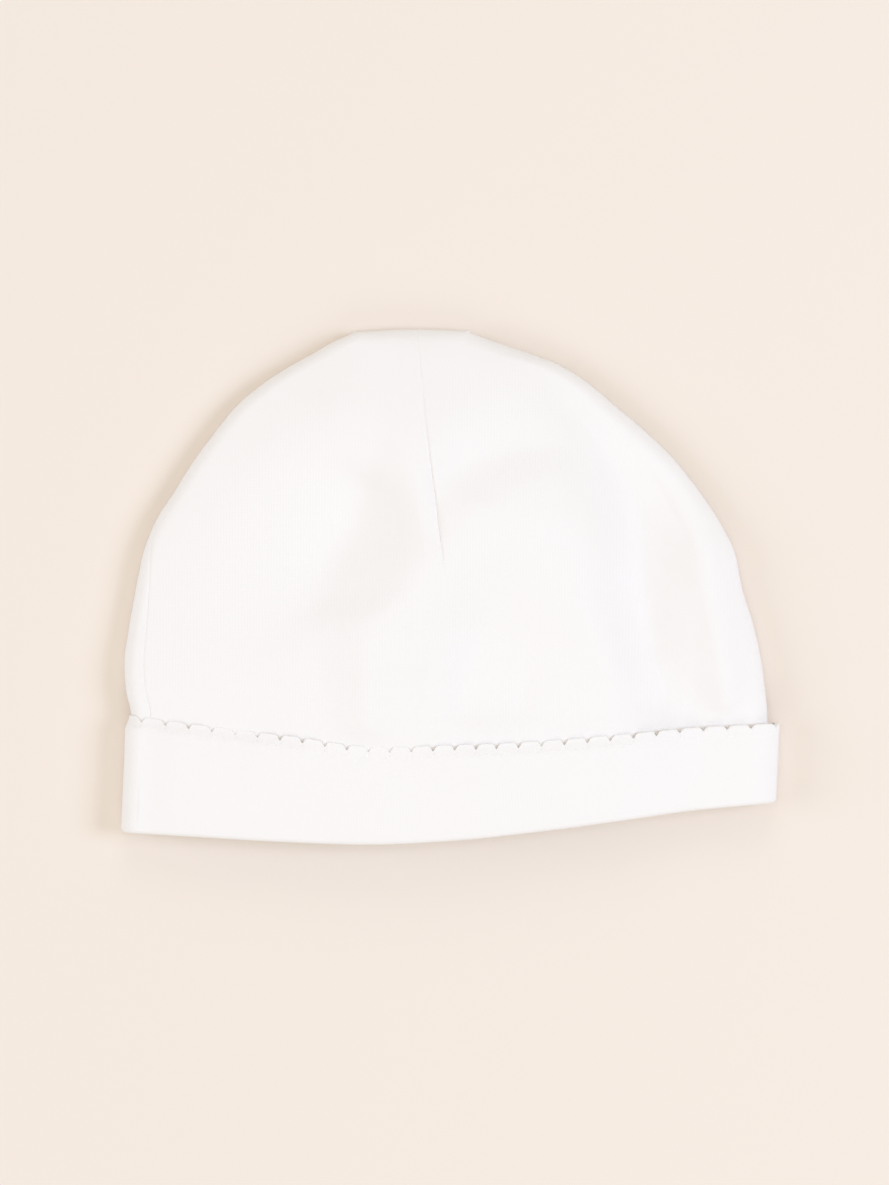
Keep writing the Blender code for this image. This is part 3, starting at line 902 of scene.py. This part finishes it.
def jersey(name):
    """Bleached cotton single jersey: matt and slightly fuzzy, with fine upright ribs of knitting."""
    material, tree = new_material(name)
    wale = 0.75 * MM
    course = 0.60 * MM
    place = add(tree, "ShaderNodeUVMap", {"uv_map": "cut"})
    split = add(tree, "ShaderNodeSeparateXYZ", None, {0: place.outputs[0]})
    across = add(tree, "ShaderNodeMath", {"operation": "DIVIDE"}, {0: split.outputs[0], 1: wale})
    upward = add(tree, "ShaderNodeMath", {"operation": "DIVIDE"}, {0: split.outputs[1], 1: course})
    within = add(tree, "ShaderNodeMath", {"operation": "PINGPONG"}, {0: across.outputs[0], 1: 0.5})
    slant = add(tree, "ShaderNodeMath", {"operation": "ADD"}, {0: upward.outputs[0], 1: within.outputs[0]})
    turns = add(tree, "ShaderNodeMath", {"operation": "MULTIPLY"}, {0: slant.outputs[0], 1: 2 * math.pi})
    loops = add(tree, "ShaderNodeMath", {"operation": "COSINE"}, {0: turns.outputs[0]})
    rib_turn = add(tree, "ShaderNodeMath", {"operation": "MULTIPLY"}, {
        0: within.outputs[0], 1: 2 * math.pi,
    })
    rib = add(tree, "ShaderNodeMath", {"operation": "SINE"}, {0: rib_turn.outputs[0]})
    height = add(tree, "ShaderNodeMath", {"operation": "MULTIPLY_ADD"}, {
        0: loops.outputs[0], 1: 0.35, 2: rib.outputs[0],
    })
    relief = add(tree, "ShaderNodeBump", None, {
        "Strength": 0.2, "Distance": 0.06 * MM, "Height": height.outputs[0],
    })
    cloth = add(tree, "ShaderNodeBsdfPrincipled", None, {
        "Base Color": linear("f1eeec"),
        "Roughness": 0.92,
        "Sheen Weight": 0.15,
        "Sheen Roughness": 0.5,
        "Specular IOR Level": 0.25,
        "Normal": relief.outputs[0],
    })
    add(tree, "ShaderNodeOutputMaterial", None, {"Surface": cloth.outputs[0]})
    return material


def sewing_cotton():
    """White spun sewing thread: matt, a touch brighter and smoother than the cloth."""
    material, tree = new_material("spun_sewing_thread")
    thread = add(tree, "ShaderNodeBsdfPrincipled", None, {
        "Base Color": linear("f4f2f1"),
        "Roughness": 0.7,
        "Specular IOR Level": 0.3,
    })
    add(tree, "ShaderNodeOutputMaterial", None, {"Surface": thread.outputs[0]})
    return material


def painted_board():
    """Cream matt board that the cap lies on."""
    material, tree = new_material("cream_matt_board")
    board = add(tree, "ShaderNodeBsdfPrincipled", None, {
        "Base Color": linear("ede2d7"),
        "Roughness": 0.9,
        "Specular IOR Level": 0.1,
    })
    add(tree, "ShaderNodeOutputMaterial", None, {"Surface": board.outputs[0]})
    return material


def thread_tree():
    """Lays a round thread along each line of stitches."""
    tree = bpy.data.node_groups.new("round_thread", "GeometryNodeTree")
    sockets = tree.interface
    sockets.new_socket("Lines", in_out="INPUT", socket_type="NodeSocketGeometry")
    sockets.new_socket("Thread radius", in_out="INPUT", socket_type="NodeSocketFloat")
    sockets.new_socket("Sides", in_out="INPUT", socket_type="NodeSocketInt")
    sockets.new_socket("Finish", in_out="INPUT", socket_type="NodeSocketMaterial")
    sockets.new_socket("Thread", in_out="OUTPUT", socket_type="NodeSocketGeometry")
    given = add(tree, "NodeGroupInput")
    lines = add(tree, "GeometryNodeMeshToCurve", None, {"Mesh": given.outputs["Lines"]})
    section = add(tree, "GeometryNodeCurvePrimitiveCircle", None, {
        "Resolution": given.outputs["Sides"], "Radius": given.outputs["Thread radius"],
    })
    swept = add(tree, "GeometryNodeCurveToMesh", None, {
        "Curve": lines.outputs[0], "Profile Curve": section.outputs[0], "Fill Caps": True,
    })
    realized = add(tree, "GeometryNodeRealizeInstances", None, {0: swept.outputs[0]})
    finished = add(tree, "GeometryNodeSetMaterial", None, {
        "Geometry": realized.outputs[0], "Material": given.outputs["Finish"],
    })
    add(tree, "NodeGroupOutput", None, {"Thread": finished.outputs[0]})
    return tree


def sew(name, lines, tree, values):
    """A piece of thread along the lines, which are lists of places, as a plain mesh."""
    places = np.concatenate(lines) + CENTRE
    edges = []
    start = 0
    for line in lines:
        edges += [(start + i, start + i + 1) for i in range(len(line) - 1)]
        start += len(line)
    mesh = bpy.data.meshes.new(name + "_lines")
    mesh.from_pydata(places.tolist(), edges, [])
    guide = bpy.data.objects.new(name + "_lines", mesh)
    bpy.context.scene.collection.objects.link(guide)
    modifier = guide.modifiers.new("thread", "NODES")
    modifier.node_group = tree
    for item in tree.interface.items_tree:
        if item.in_out == "INPUT" and item.name in values:
            modifier[item.identifier] = values[item.name]
    graph = bpy.context.evaluated_depsgraph_get()
    made = bpy.data.meshes.new_from_object(guide.evaluated_get(graph))
    bpy.data.objects.remove(guide)
    made.name = name
    made.shade_smooth()
    obj = bpy.data.objects.new(name, made)
    bpy.context.scene.collection.objects.link(obj)
    return obj


def cuff_line(cycles, shells, below_edges, lift):
    """A line on the cuff's outer face, given by its places along the shells and below the edge."""
    around = shell_around(shells)
    _, across, side = cuff_base(around % 2, 0 * around)
    front = on_front(across, side)
    height = cuff_height(across)
    held = held_close(across, side)
    pulled, swell = shell_shape(cycles, below_edges, front, held)
    stand = edge_stand(cycles, below_edges, held)
    up = height - below_edges
    wave = cuff_wave(around % 2, up) * front
    return cuff_place(around, up - pulled, stand + swell + wave + lift)


def shell_threads():
    """At each notch the thread climbs from the stitch line and over the edge."""
    lines = []
    t = np.linspace(0, 1, 9)
    for shell in range(SHELLS):
        below = STITCH_LINE * (1 - t) + EDGE_ROUND * CLIMB_TOP * t
        over = ease((t - CLIMB_OVER) / (1 - CLIMB_OVER))
        lift = -THREAD_RADIUS * CLIMB_PRESS - WALL * over - CLIMB_DIVE * bump(t, CLIMB_DIVE_REACH)
        lines.append(cuff_line(0 * t, shell + 0 * t, below, lift))
    return lines


def running_stitches():
    """Short stitches along the line under the shells."""
    lines = []
    t = np.linspace(0, 1, 6)
    for shell in range(SHELLS):
        for k in range(STITCHES_PER_SHELL):
            start = (k + STITCH_START) / STITCHES_PER_SHELL
            cycle = start + t * STITCH_LENGTH / STITCHES_PER_SHELL
            lift = THREAD_RADIUS * (-STITCH_PRESS - STITCH_DIVE * (2 * t - 1) ** 4)
            lines.append(cuff_line(cycle, shell + cycle, STITCH_LINE + 0 * t, lift))
    return lines


def make_floor(material):
    half = 1.5
    corners = [(-half, -half, 0), (half, -half, 0), (half, half, 0), (-half, half, 0)]
    mesh = bpy.data.meshes.new("floor")
    mesh.from_pydata(corners, [], [(0, 1, 2, 3)])
    mesh.materials.append(material)
    floor = bpy.data.objects.new("floor", mesh)
    bpy.context.scene.collection.objects.link(floor)
    return floor


# Soft round lamps that face the cap's middle. place and size are in metres and power in watts.
Lamp = namedtuple("Lamp", "name place size power colour")
LAMPS = (
    Lamp("key from the right", (1.30, 0.02, 1.09), 0.76, 11.0, (0.80, 0.93, 1.27)),
    Lamp("fill from the left", (-1.77, 0.0, 0.94), 1.2, 11.6, (0.86, 0.96, 1.26)),
    Lamp("fill from below", (0.1, -1.4, 1.0), 1.0, 4.4, (0.92, 0.98, 1.12)),
    Lamp("fill from above", (0.0, 1.5, 1.0), 1.0, 3.2, (0.92, 0.98, 1.12)),
    Lamp("overhead", (-0.1, 0.0, 1.6), 0.9, 4.2, (1.0, 0.98, 1.04)),
)


def hang(lamp):
    light = bpy.data.lights.new(lamp.name, "AREA")
    light.shape = "DISK"
    light.size = lamp.size
    light.energy = lamp.power
    light.color = lamp.colour
    obj = bpy.data.objects.new(lamp.name, light)
    obj.location = lamp.place
    obj.rotation_euler = (-Vector(lamp.place)).to_track_quat("-Z", "Y").to_euler()
    bpy.context.scene.collection.objects.link(obj)
    return obj


def light_room():
    """Warm light from all round, with a plain pale backdrop past the floor's edge."""
    world = bpy.data.worlds.new("studio")
    world.use_nodes = True
    tree = world.node_tree
    tree.nodes.clear()
    room = add(tree, "ShaderNodeBackground", None, {"Color": (1.0, 0.910, 0.665, 1.0), "Strength": 0.522})
    backdrop = add(tree, "ShaderNodeBackground", None, {"Color": linear("f3e8dc"), "Strength": 1.0})
    path = add(tree, "ShaderNodeLightPath")
    seen = add(tree, "ShaderNodeMixShader", None, {
        0: path.outputs["Is Camera Ray"], 1: room.outputs[0], 2: backdrop.outputs[0],
    })
    add(tree, "ShaderNodeOutputWorld", None, {"Surface": seen.outputs[0]})
    bpy.context.scene.world = world


def set_camera():
    """Looks straight down on the cap from a metre above it, and shows its colours as they are."""
    data = bpy.data.cameras.new("camera")
    data.lens = 120
    data.sensor_width = 36
    camera = bpy.data.objects.new("camera", data)
    camera.location = (-0.0015, -0.0016, 0.9930)
    bpy.context.scene.collection.objects.link(camera)
    bpy.context.scene.camera = camera
    bpy.context.scene.view_settings.view_transform = "Standard"


crown_cloth = jersey("bleached_cotton_jersey_crown")
cuff_cloth = jersey("bleached_cotton_jersey_cuff")
thread = sewing_cotton()

front = make_panel("crown_front_cloth", CROWN_ROWS, front_columns, 0, crown_cloth)
back = make_panel("crown_back_cloth", BACK_ROWS, back_columns, 1, crown_cloth)
cuff = make_cuff(cuff_cloth)
tree = thread_tree()
thread_sizes = {"Thread radius": THREAD_RADIUS, "Sides": 6, "Finish": thread}
shell_thread = sew("shell_thread", shell_threads(), tree, thread_sizes)
edge_stitches = sew("edge_stitches", running_stitches(), tree, thread_sizes)

for piece, node, slot in (
    (front, "crown_front", "crown_jersey"),
    (back, "crown_back", "crown_jersey"),
    (cuff, "cuff", "cuff_jersey"),
):
    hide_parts(node)
for piece in (front, back, cuff, shell_thread, edge_stitches):
    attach(piece, "root")

light_room()
set_camera()
make_floor(painted_board())
[hang(lamp) for lamp in LAMPS]
